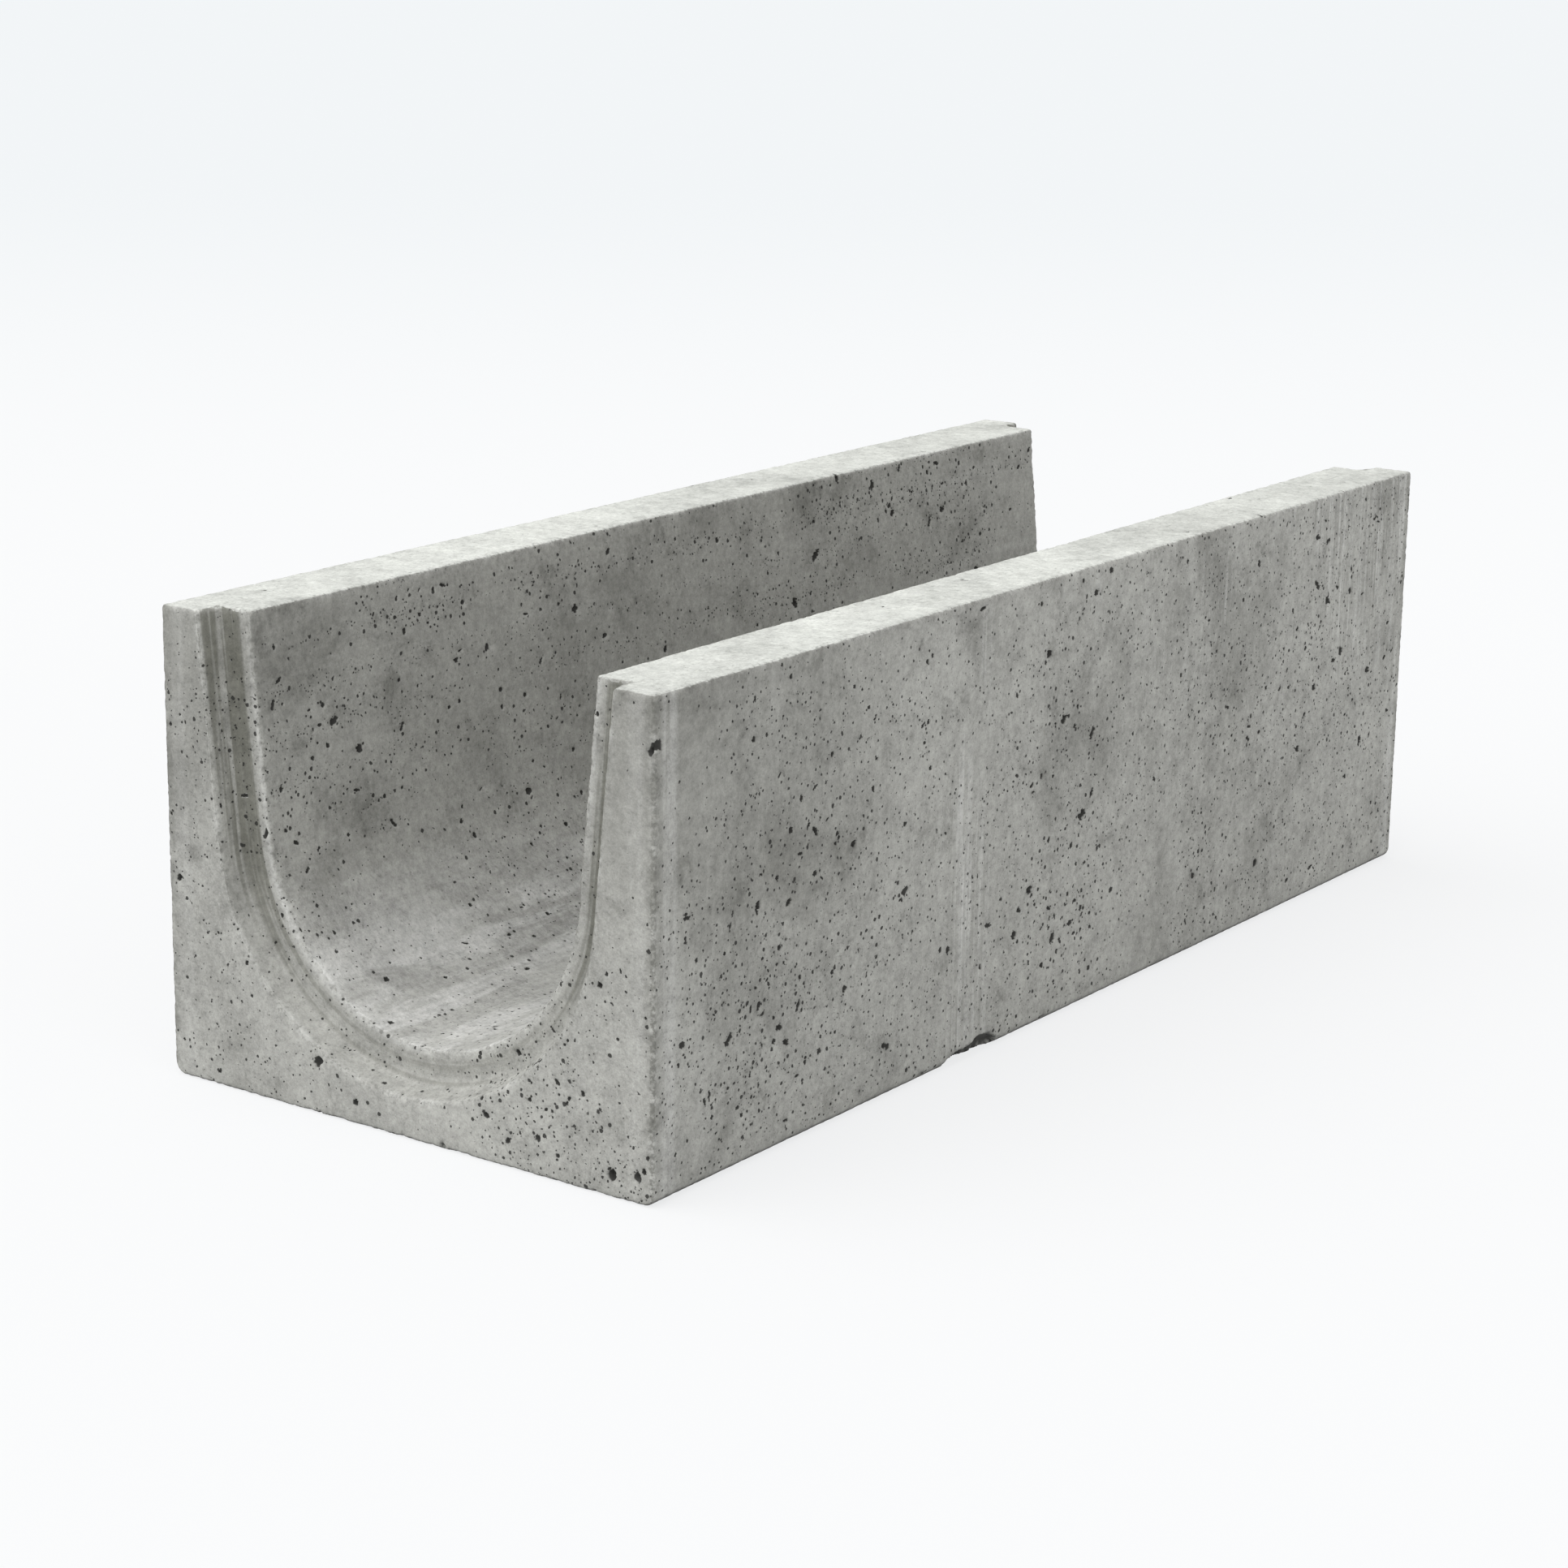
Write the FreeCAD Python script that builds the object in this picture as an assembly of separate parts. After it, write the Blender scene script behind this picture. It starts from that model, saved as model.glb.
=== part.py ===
import FreeCAD, Part
import math
import os

# A precast concrete drainage channel: one U-shaped block with a round-bottomed
# trough, and the same shallow rebate round the trough at both ends.
# Millimetres. X across, Y along the channel, Z up; the origin is the middle of
# the underside.

LENGTH = 1000.0
WIDTH = 410.0
HEIGHT = 325.0

# Trough: a round floor, with side walls that run up tangent to it
TROUGH_RADIUS = 130.0
INVERT_THICKNESS = 57.0   # concrete under the lowest line of the trough
TOP_OPENING = 288.0       # clear width between the tops of the walls

# Joint rebate cast round the trough at each end
REBATE_DEPTH = 20.0       # along the channel
REBATE_STEP = 24.0        # out from the trough surface, at the foot of the rebate
REBATE_SPLAY = 4.0        # how much wider it is at the mouth, for the mould to draw
REBATE_FILLET = 3.0       # in the inside corner

# Arrises
BOTTOM_RADIUS = 9.0       # the two long bottom edges
ARRIS_RADIUS = 3.0        # long top edges, and the upright corners
TROUGH_ARRIS_RADIUS = 2.5  # trough rims, rebate edges, and the tops of the ends

OVERRUN = 10.0            # how far the cutting shapes run past a face
NEAR = 1e-3


def check_sizes():
    """Stop with a plain message where the sizes leave no room for the edges."""
    end_face = WIDTH / 2 - TOP_OPENING / 2 - REBATE_STEP - REBATE_SPLAY
    if end_face < ARRIS_RADIUS + TROUGH_ARRIS_RADIUS:
        raise ValueError("the rebates leave too little of the walls: widen the block or narrow the opening")
    if TROUGH_ARRIS_RADIUS >= ARRIS_RADIUS:
        raise ValueError("TROUGH_ARRIS_RADIUS must be smaller than ARRIS_RADIUS")


def trough_contour(offset, y):
    """Closed wire at station y: the trough's outline set outwards by offset, run past the top."""
    centre_z = INVERT_THICKNESS + TROUGH_RADIUS
    rise = HEIGHT - centre_z
    half = TOP_OPENING / 2
    draft = math.acos(TROUGH_RADIUS / math.hypot(half, rise)) - math.atan2(rise, half)
    radius = TROUGH_RADIUS + offset

    foot_x = radius * math.cos(draft)
    foot_z = centre_z - radius * math.sin(draft)
    top_z = HEIGHT + OVERRUN
    top_x = foot_x + (top_z - foot_z) * math.tan(draft)

    top_left = FreeCAD.Vector(-top_x, y, top_z)
    foot_left = FreeCAD.Vector(-foot_x, y, foot_z)
    invert = FreeCAD.Vector(0, y, centre_z - radius)
    foot_right = FreeCAD.Vector(foot_x, y, foot_z)
    top_right = FreeCAD.Vector(top_x, y, top_z)
    return Part.Wire([
        Part.makeLine(top_left, foot_left),
        Part.Arc(foot_left, invert, foot_right).toShape(),
        Part.makeLine(foot_right, top_right),
        Part.makeLine(top_right, top_left),
    ])


def trough_cutter():
    reach = LENGTH / 2 + OVERRUN
    face = Part.Face(trough_contour(0.0, -reach))
    return face.extrude(FreeCAD.Vector(0, 2 * reach, 0))


def rebate_cutter():
    """The splayed rebate at the -Y end, with its inside corner filleted."""
    end = -LENGTH / 2
    beyond = REBATE_SPLAY * OVERRUN / REBATE_DEPTH
    mouth = trough_contour(REBATE_STEP + REBATE_SPLAY + beyond, end - OVERRUN)
    foot = trough_contour(REBATE_STEP, end + REBATE_DEPTH)
    cutter = Part.makeLoft([mouth, foot], True, True)
    corner = [edge for edge in cutter.Edges
              if abs(edge.BoundBox.YMin - (end + REBATE_DEPTH)) < NEAR
              and edge.BoundBox.ZMin < HEIGHT]
    return cutter.makeFillet(REBATE_FILLET, corner)


def at_both_ends(shape):
    """The shape at the -Y end, and its mirror image at the +Y end."""
    return [shape, shape.mirror(FreeCAD.Vector(0, 0, 0), FreeCAD.Vector(0, 1, 0))]


def outer_block():
    corner = FreeCAD.Vector(-WIDTH / 2, -LENGTH / 2, 0)
    block = Part.makeBox(WIDTH, LENGTH, HEIGHT, corner)
    bottom = [edge for edge in block.Edges
              if edge.BoundBox.ZMax < NEAR and edge.BoundBox.YLength > LENGTH / 2]
    block = block.makeFillet(BOTTOM_RADIUS, bottom)
    return block.makeFillet(ARRIS_RADIUS, [edge for edge in block.Edges if is_outer_arris(edge)])


def is_outer_arris(edge):
    """The long top edges and the upright corners; the bottom edges of the ends run on from these."""
    box = edge.BoundBox
    at_side = abs(abs(box.Center.x) - WIDTH / 2) < NEAR
    along_top = box.ZMin > HEIGHT - NEAR
    upright = box.ZLength > HEIGHT / 2
    return at_side and (along_top or upright)


def is_trough_arris(edge):
    """Sharp edges round the trough: its rims, the rebate mouths and shoulders, and the end tops."""
    box = edge.BoundBox
    reach = max(abs(box.XMin), abs(box.XMax))
    station = LENGTH / 2 - abs(box.Center.y)
    flat_across = box.YLength < NEAR
    on_top = box.ZMin > HEIGHT - NEAR and abs(box.Center.x) < WIDTH / 2 - ARRIS_RADIUS - NEAR
    at_mouth = flat_across and station < NEAR and reach < WIDTH / 2 - BOTTOM_RADIUS - NEAR
    at_shoulder = (flat_across and abs(station - REBATE_DEPTH) < NEAR
                   and reach < TOP_OPENING / 2 + NEAR)
    return on_top or at_mouth or at_shoulder


def build_channel():
    channel = outer_block().cut(trough_cutter())
    for cutter in at_both_ends(rebate_cutter()):
        channel = channel.cut(cutter)
    arrises = [edge for edge in channel.Edges if is_trough_arris(edge)]
    return channel.makeFillet(TROUGH_ARRIS_RADIUS, arrises)


check_sizes()
os.makedirs("parts", exist_ok=True)
channel = build_channel()
channel.exportStep("parts/channel.step")
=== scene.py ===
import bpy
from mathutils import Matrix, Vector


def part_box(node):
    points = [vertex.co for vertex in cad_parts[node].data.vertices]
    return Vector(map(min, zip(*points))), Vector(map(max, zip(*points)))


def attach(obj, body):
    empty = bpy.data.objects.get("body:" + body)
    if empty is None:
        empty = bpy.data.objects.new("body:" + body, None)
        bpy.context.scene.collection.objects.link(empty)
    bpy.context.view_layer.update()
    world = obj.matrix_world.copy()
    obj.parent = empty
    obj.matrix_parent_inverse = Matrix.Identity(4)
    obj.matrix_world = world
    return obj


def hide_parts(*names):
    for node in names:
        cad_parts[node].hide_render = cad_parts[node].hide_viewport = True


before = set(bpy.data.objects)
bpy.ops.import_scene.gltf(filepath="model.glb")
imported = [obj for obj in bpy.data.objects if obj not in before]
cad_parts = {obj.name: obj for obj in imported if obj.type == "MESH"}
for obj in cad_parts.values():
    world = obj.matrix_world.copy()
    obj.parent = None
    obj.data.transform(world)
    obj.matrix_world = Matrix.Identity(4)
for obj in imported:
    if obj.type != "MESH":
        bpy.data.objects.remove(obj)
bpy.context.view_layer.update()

import itertools
import math

import bpy
import numpy as np
from bpy.props import FloatProperty, FloatVectorProperty, IntProperty, PointerProperty
from mathutils import Matrix, Vector

bl_info = {
    "name": "Concrete Drainage Channel",
    "version": (1, 0, 0),
    "blender": (4, 5, 0),
    "location": "3D View > Sidebar > Channel",
    "description": "Casts a worn concrete drainage channel and sets it on a studio floor",
    "category": "Object",
}

NODE = "channel"
PIECE = "concrete_channel"
MM = 0.001                      # one millimetre, in metres
MOST_TRIANGLES = 190_000
FINEST_EDGE, LONGEST_EDGE = 1.7, 30.0   # of the mesh at an arris and on a plain face, in millimetres
SMALLEST_HOLE, LARGEST_HOLE = 0.7, 3.2  # radius of the air holes, in millimetres
SMALLEST_NICK, LARGEST_NICK = 0.8, 3.4  # radius of the nicks, in millimetres
PAPER_GLOW = 1.36               # how bright the floor's even part is, beside its own colour
PAPER_EVENNESS = 0.80           # how much of the floor the camera sees as evenly lit
RAY_CAMERA, RAY_GLOSSY, RAY_TRANSMISSION = 0, 3, 6
# Painted shade: faces turned down and broken-out pieces below this height are painted dark.
UNDERSIDE_SHADE_HEIGHT = 18.0              # undersides below this stay dark, in millimetres
MOST_EDGE_GAP = 60.0            # how far from an upright edge its marks reach, in millimetres
BITE_DEPTH = 11.0               # how far in the broken piece goes, in millimetres
# Where the air holes crowd: place as shares of half width, half length and height,
# then reach in millimetres, then how many more there are.
AIRY_PLACES = (
    (1.0, -0.68, 0.30, 120.0, 1.6),
    (1.0, -0.15, 0.40, 110.0, 1.3),
    (1.0, 0.55, 0.30, 150.0, 1.4),
    (-0.68, 0.60, 0.85, 190.0, 2.2),
    (-0.68, -0.55, 0.75, 110.0, 1.0),
    (0.60, -1.0, 0.16, 90.0, 1.3),
)
LOW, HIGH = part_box(NODE)
SIZE = HIGH - LOW


# ---------------------------------------------------------------- settings

def length(name, default, text):
    return FloatProperty(name=name, description=text, default=default, min=0.0,
                         subtype="DISTANCE", unit="LENGTH", precision=4)


def share(name, default, text):
    return FloatProperty(name=name, description=text, default=default, min=0.0, max=4.0)


def tint(name, default, text):
    return FloatVectorProperty(name=name, description=text, default=default, size=3,
                               min=0.0, max=1.0, subtype="COLOR")


class MouldSettings(bpy.types.PropertyGroup):
    """Sizes of the mould that the channel is cast in."""

    length: length("Length", SIZE.y, "Length along the channel")
    width: length("Width", SIZE.x, "Width across both walls")
    height: length("Height", SIZE.z, "Height of the walls above the floor")
    trough_radius: length("Trough radius", 0.130, "Radius of the trough's round floor")
    invert: length("Concrete under trough", 0.057, "Thickness under the trough's lowest line")
    opening: length("Opening", 0.288, "Clear width between the tops of the walls")
    rebate_depth: length("Rebate depth", 0.020, "Depth of the end rebates along the channel")
    rebate_step: length("Rebate step", 0.024, "Width of the end rebates at their foot")
    rebate_splay: length("Rebate splay", 0.004, "How much wider the rebates are at the mouth")
    rebate_fillet: length("Rebate fillet", 0.003, "Rounding in the rebates' inside corner")
    bottom_radius: length("Bottom radius", 0.009, "Rounding of the long bottom edges")
    arris_radius: length("Arris radius", 0.003, "Rounding of the outer edges")
    rim_radius: length("Rim radius", 0.0025, "Rounding of the edges round the trough")


class WearSettings(bpy.types.PropertyGroup):
    """Air holes, chips and crumbled edges."""

    seed: IntProperty(name="Seed", description="Start of the random draws", default=7)
    air_holes: IntProperty(name="Air holes", default=2000, min=0,
                           description="Air holes large enough to be modelled")
    nicks: IntProperty(name="Nicks", default=420, min=0,
                       description="Small pieces knocked off the edges")
    crumble: length("Crumble", 0.0009, "How far the edges have crumbled back")
    bite_length: length("Broken piece", 0.066, "Length broken out of the bottom edge")
    bite_height: length("Broken height", 0.014, "Height broken out of the bottom edge")
    bite_place: FloatProperty(name="Broken place", default=-0.140, subtype="DISTANCE",
                              unit="LENGTH", description="Middle of the broken piece along Y")


class FinishSettings(bpy.types.PropertyGroup):
    """Colours of the concrete, and of the painted light and shade on it."""

    face: tint("Formed faces", (0.305, 0.305, 0.285), "Concrete that set against the mould")
    top: tint("Trowelled tops", (0.50, 0.51, 0.48), "Open faces that were trowelled")
    # Also the colour of the painted highlight on the rebates' rim and of the painted light on the trough
    # floor.
    pale: tint("Pale streaks", (0.47, 0.47, 0.455), "Lime and dust on the surface")
    # Also the colour of painted shade high on the end faces, the near side and the trough walls, and on the
    # far top.
    dark: tint("Dark clouds", (0.155, 0.155, 0.14), "Wetter, denser patches")
    stain: tint("Release stain", (0.105, 0.105, 0.085), "Mould oil in the rebates")
    # Painted shade: the dark colour painted inside the air holes and under the foot, where shade falls.
    hollow: tint("Air holes", (0.018, 0.018, 0.016), "Inside of the air holes")


class StudioSettings(bpy.types.PropertyGroup):
    """Camera, lamps and floor."""

    eye: FloatVectorProperty(name="Camera", default=(1.4707, -2.1363, 0.8230), size=3,
                             subtype="TRANSLATION", unit="LENGTH",
                             description="Where the camera stands")
    turn: FloatProperty(name="Turn", default=math.radians(35.588), subtype="ANGLE",
                        unit="ROTATION", description="Camera turned left from straight along Y")
    dip: FloatProperty(name="Dip", default=math.radians(14.919), subtype="ANGLE",
                       unit="ROTATION", description="Camera tipped down from level")
    tilt: FloatProperty(name="Tilt", default=math.radians(-0.809), subtype="ANGLE",
                        unit="ROTATION", description="Camera rolled about its own line of sight")
    lens: FloatProperty(name="Lens", default=82.59, min=1.0, unit="CAMERA",
                        description="Focal length on a 36 mm sensor")
    sky: share("Sky", 0.60, "Strength of the even light from all round")
    key: share("Key lamp", 2.75, "Strength of the soft lamp above and in front")
    fill: share("Fill lamp", 0.8, "Strength of the soft lamp at the right")
    floor: tint("Floor", (0.70, 0.705, 0.71), "Colour of the studio floor")


class ChannelSettings(bpy.types.PropertyGroup):
    """All settings of the channel and its studio."""

    mould: PointerProperty(type=MouldSettings)
    wear: PointerProperty(type=WearSettings)
    finish: PointerProperty(type=FinishSettings)
    studio: PointerProperty(type=StudioSettings)


# ---------------------------------------------------------------- the cast shape, in millimetres

class Grain:
    """Smooth random lumps, from about -1 to 1."""

    CELLS = 256

    def __init__(self, seed):
        draw = np.random.default_rng(seed)
        self.order = draw.permutation(self.CELLS)
        self.level = draw.uniform(-1.0, 1.0, self.CELLS)

    def __call__(self, points, size):
        """The lumps at the points; they are about size across."""
        place = points / size
        cell = np.floor(place).astype(np.int64)
        part = place - cell
        part = part * part * (3.0 - 2.0 * part)
        total = np.zeros(len(points))
        for corner in itertools.product((0, 1), repeat=3):
            index = (cell + corner) % self.CELLS
            key = self.order[index[:, 0]]
            key = self.order[(key + index[:, 1]) % self.CELLS]
            key = self.order[(key + index[:, 2]) % self.CELLS]
            weight = np.prod(np.where(corner, part, 1.0 - part), axis=1)
            total += weight * self.level[key]
        return total


def round_max(a, b, radius):
    """The larger of two distances, with a rounded edge where they meet."""
    sharp = np.minimum(np.maximum(a, b), -radius)
    return sharp + np.hypot(np.maximum(a + radius, 0.0), np.maximum(b + radius, 0.0))


def round_min(a, b, radius):
    """The smaller of two distances, with a rounded edge where they meet."""
    return -round_max(-a, -b, radius)


def smooth_step(low, high, value):
    """0 at low, 1 at high, smooth between; high may be the lower."""
    t = np.clip((value - low) / (high - low), 0.0, 1.0)
    return t * t * (3.0 - 2.0 * t)


class Mould:
    """Signed distances of the cast block: positive outside the concrete, negative inside."""

    def __init__(self, settings):
        mm = {name: getattr(settings, name) / MM for name in settings.__annotations__}
        self.half_length = mm["length"] / 2
        self.half_width = mm["width"] / 2
        self.height = mm["height"]
        self.radius = mm["trough_radius"]
        self.centre = mm["invert"] + mm["trough_radius"]
        self.depth = mm["rebate_depth"]
        self.step = mm["rebate_step"]
        self.splay = mm["rebate_splay"]
        self.fillet = mm["rebate_fillet"]
        self.bottom_radius = mm["bottom_radius"]
        self.arris = mm["arris_radius"]
        self.rim = mm["rim_radius"]
        rise = self.height - self.centre
        half = mm["opening"] / 2
        self.draft = math.acos(self.radius / math.hypot(half, rise)) - math.atan2(rise, half)

    def offset(self, points):
        """How far each point is from the trough's surface, positive into the concrete."""
        across = np.abs(points[:, 0])
        up = points[:, 2] - self.centre
        wall = across * math.cos(self.draft) - up * math.sin(self.draft)
        on_wall = np.arctan2(up, across) > -self.draft
        return np.where(on_wall, wall, np.hypot(across, up)) - self.radius

    def girth(self, points):
        """Distance round the trough's outline from its lowest line, positive towards +X."""
        across = np.abs(points[:, 0])
        up = points[:, 2] - self.centre
        angle = np.arctan2(across, -up)
        quarter = math.pi / 2 - self.draft
        foot = -self.radius * math.sin(self.draft)
        along_wall = np.maximum(up - foot, 0.0) / math.cos(self.draft)
        round_part = np.minimum(angle, quarter) * self.radius
        return np.sign(points[:, 0]) * (round_part + along_wall)

    def planes(self, points):
        """Distances from the side, bottom, top, end, trough, shoulder and splay."""
        side = np.abs(points[:, 0]) - self.half_width
        bottom = -points[:, 2]
        top = points[:, 2] - self.height
        end = np.abs(points[:, 1]) - self.half_length
        offset = self.offset(points)
        shoulder = end + self.depth
        slope = self.splay / self.depth
        splay = (self.step + slope * np.maximum(shoulder, 0.0) - offset) / math.hypot(1.0, slope)
        return side, bottom, top, end, -offset, shoulder, splay

    def cast(self, points):
        """Distance from the block as it left the mould."""
        side, bottom, top, end, trough, shoulder, splay = self.planes(points)
        block = round_max(side, bottom, self.bottom_radius)
        block = round_max(block, top, self.arris)
        block = round_max(block, end, self.arris)
        hollow = round_min(round_max(trough, shoulder, self.rim), splay, self.fillet)
        return round_max(block, hollow, self.rim)

    def arrises(self, points):
        """Distance from the nearest of each group of edges: outer, foot, rebate shoulder."""
        side, bottom, top, end, trough, shoulder, splay = self.planes(points)
        hollow = np.minimum(np.maximum(trough, shoulder), splay)
        outer = np.minimum.reduce([np.hypot(side, top), np.hypot(side, end),
                                   np.hypot(top, end), np.hypot(top, hollow),
                                   np.hypot(end, hollow)])
        foot = np.minimum(np.hypot(side, bottom), np.hypot(bottom, end))
        return outer, foot, np.hypot(trough, shoulder)

    def contour(self, offset, station, wall_steps, arc_angles):
        """Points round the trough's outline set outwards by offset, from one wall top to the other."""
        reach = self.radius + offset
        rise = self.height - self.centre
        foot = np.array([reach * math.cos(self.draft), -reach * math.sin(self.draft)])
        head = np.array([(reach + rise * math.sin(self.draft)) / math.cos(self.draft), rise])
        wall = head + np.linspace(0.0, 1.0, wall_steps, endpoint=False)[:, None] * (foot - head)
        arc = np.stack([reach * np.cos(arc_angles), reach * np.sin(arc_angles)], axis=1)
        left = np.concatenate([wall * (-1, 1), arc, (wall * (1, 1))[::-1]])
        return np.stack([left[:, 0], np.full(len(left), station), left[:, 1] + self.centre], axis=1)

    def wall_top(self, offset):
        """Where the -X wall's top meets the trough's outline set outwards by offset, along X."""
        return self.contour(offset, 0.0, 2, np.array([0.0]))[0, 0]

    def box_contour(self, station, inner):
        """Points on the block's outside that face the points of an inner outline."""
        across, up = inner[:, 0], inner[:, 2] - self.centre
        with np.errstate(divide="ignore"):
            to_side = self.half_width / np.abs(across)
            to_bottom = np.where(up < 0, self.centre / np.maximum(-up, 1e-9), np.inf)
        scale = np.minimum(to_side, to_bottom)
        below = up < -self.radius * math.sin(self.draft) + 1e-6
        x = np.where(below, across * scale, np.sign(across) * self.half_width)
        z = np.where(below, up * scale, up) + self.centre
        return np.stack([x, np.full(len(x), station), z], axis=1)


def sharp_block(mould):
    """The block with sharp edges, as points and triangles, ready to be divided and rounded."""
    corner = math.atan2(mould.centre, mould.half_width)
    left = np.concatenate([np.linspace(math.pi + mould.draft, math.pi + corner, 4)[:-1],
                           np.linspace(math.pi + corner, 1.5 * math.pi, 5)])
    angles = np.concatenate([left, (3 * math.pi - left)[-2::-1]])
    end = mould.half_length
    foot = end - mould.depth
    rows = []
    for side in (-1, 1):
        mouth = mould.contour(mould.step + mould.splay, side * end, 3, angles)
        ring = [mould.box_contour(side * end, mouth), mouth,
                mould.contour(mould.step, side * foot, 3, angles),
                mould.contour(0.0, side * foot, 3, angles)]
        rows += ring if side < 0 else ring[::-1]
    count = len(rows[0])
    points = np.concatenate(rows)
    faces = []
    for row, column in itertools.product(range(8), range(count - 1)):
        a, b = row * count + column, (row + 1) % 8 * count + column
        faces += [(a, a + 1, b + 1), (a, b + 1, b)]
    for column, flip in ((0, False), (count - 1, True)):
        rim = [row * count + column for row in range(8)]
        for quad in ((0, 1, 6, 7), (1, 2, 5, 6), (2, 3, 4, 5)):
            a, b, c, d = (rim[i] for i in quad)
            cap = [(a, b, c), (a, c, d)]
            faces += [f[::-1] for f in cap] if flip else cap
    faces = np.array(faces)
    corners = points[faces]
    volume = np.einsum("ij,ij->i", corners[:, 0], np.cross(corners[:, 1], corners[:, 2])).sum()
    return points, faces if volume > 0 else faces[:, ::-1]


def split_edges(points, faces, limit):
    """Halves each edge longer than the limit of its two ends. New points follow the old ones."""
    sides = np.stack([faces, np.roll(faces, -1, axis=1)], axis=2).reshape(-1, 2)
    edges, where = np.unique(np.sort(sides, axis=1), axis=0, return_inverse=True)
    where = where.reshape(-1, 3)
    span = np.linalg.norm(points[edges[:, 0]] - points[edges[:, 1]], axis=1)
    cut = span > limit[edges].min(axis=1)
    middle = np.full(len(edges), -1)
    middle[cut] = len(points) + np.arange(cut.sum())
    points = np.concatenate([points, points[edges[cut]].mean(axis=1)])

    marks = cut[where]
    count = marks.sum(axis=1)
    turn = np.where(count == 1, marks.argmax(axis=1), 0)
    turn = np.where(count == 2, (np.argmin(marks, axis=1) + 1) % 3, turn)
    order = (turn[:, None] + np.arange(3)) % 3
    v = np.take_along_axis(faces, order, axis=1)
    m = np.take_along_axis(middle[where], order, axis=1)
    out = [faces[count == 0]]
    one = count == 1
    out += [np.stack([v[one, 0], m[one, 0], v[one, 2]], 1),
            np.stack([m[one, 0], v[one, 1], v[one, 2]], 1)]
    two = count == 2
    a, b, c, p, q = v[two, 0], v[two, 1], v[two, 2], m[two, 0], m[two, 1]
    near = (np.linalg.norm(points[a] - points[q], axis=1)
            < np.linalg.norm(points[p] - points[c], axis=1))[:, None]
    out += [np.stack([p, b, q], 1),
            np.where(near, np.stack([a, p, q], 1), np.stack([a, p, c], 1)),
            np.where(near, np.stack([a, q, c], 1), np.stack([p, q, c], 1))]
    three = count == 3
    a, b, c, p, q, r = (*v[three].T, *m[three].T)
    out += [np.stack(t, 1) for t in ((a, p, r), (p, b, q), (r, q, c), (p, q, r))]
    return points, np.concatenate(out)


def slope(field, points, reach=0.02):
    """Gradient of a distance field."""
    parts = []
    for axis in range(3):
        step = np.zeros(3)
        step[axis] = reach
        parts.append((field(points + step) - field(points - step)) / (2 * reach))
    return np.stack(parts, axis=1)


def settle(field, points, rounds):
    """Moves points onto the surface where the field is zero."""
    for _ in range(rounds):
        gradient = slope(field, points)
        steep = np.maximum(np.einsum("ij,ij->i", gradient, gradient), 0.25)
        points = points - gradient * (field(points) / steep)[:, None]
    return points


def relax(points, faces, amount):
    """Moves each point part of the way to the middle of its neighbours."""
    total = np.zeros_like(points)
    count = np.zeros(len(points))
    for k in range(3):
        np.add.at(total, faces[:, k], points[faces[:, (k + 1) % 3]] + points[faces[:, (k + 2) % 3]])
        np.add.at(count, faces[:, k], 2)
    return points + amount * (total / count[:, None] - points)


# ---------------------------------------------------------------- wear

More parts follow.
